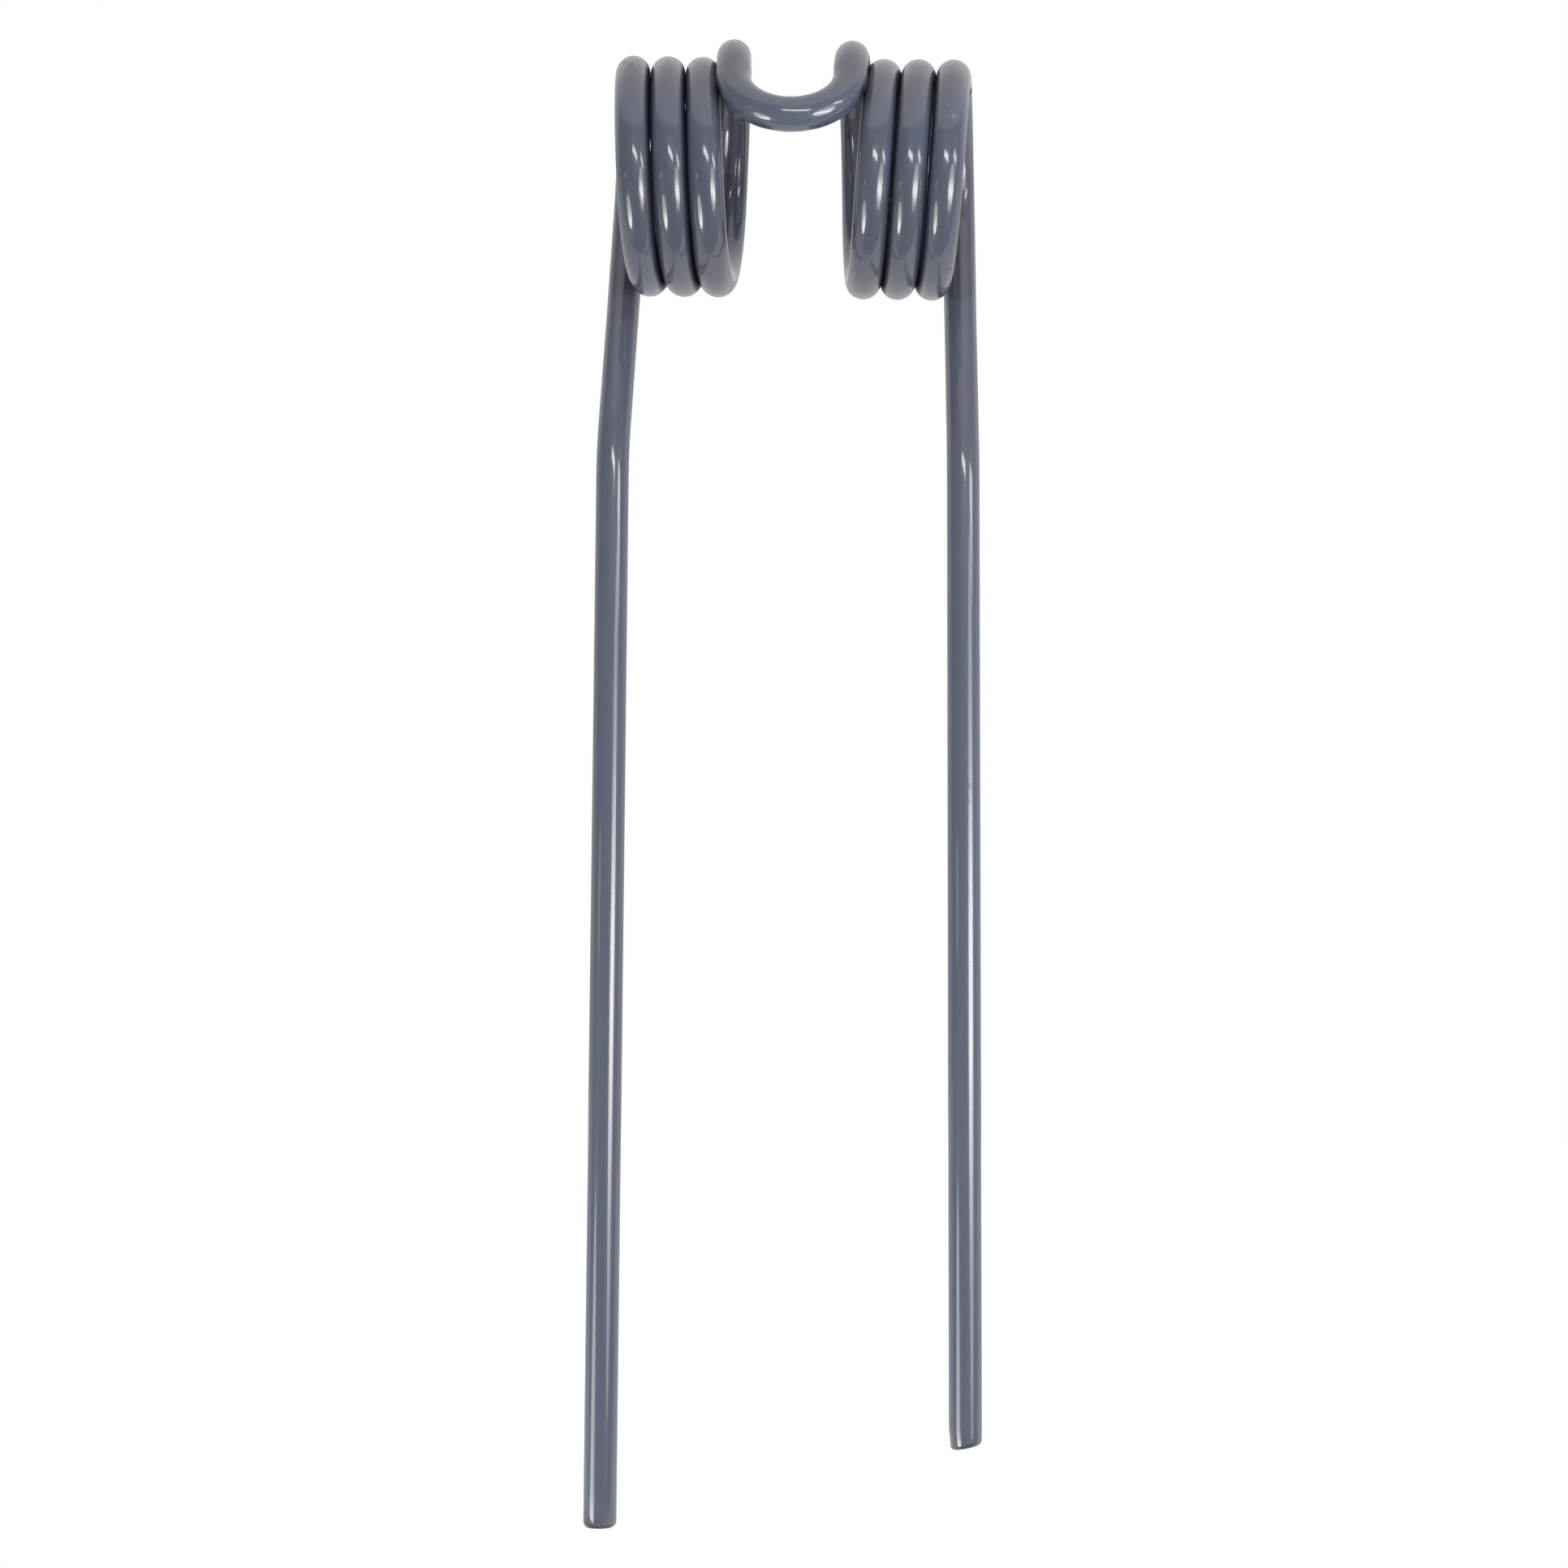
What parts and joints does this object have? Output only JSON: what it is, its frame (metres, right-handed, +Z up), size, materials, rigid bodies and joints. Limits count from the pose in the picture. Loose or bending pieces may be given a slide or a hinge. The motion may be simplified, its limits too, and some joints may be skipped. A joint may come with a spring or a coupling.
{
  "type": "rotary rake tine",
  "caption": "Double torsion spring tine of round wire: a central clamping loop between two coils, each running out into a long straight raking leg with a knee bend.",
  "frame": {"origin": "centre of the clamping loop", "axes": "+Z up with the straight lower legs hanging along -Z, +X to the right across both coils, +Y from the loop side to the back where the legs leave the coils"},
  "size_m": [0.1164, 0.0734, 0.4234],
  "materials": {
    "painted_wire": "glossy dipped paint, dark blue-grey"
  },
  "bodies": {
    "root": {"tine_wire": "painted_wire"}
  },
  "joints": []
}
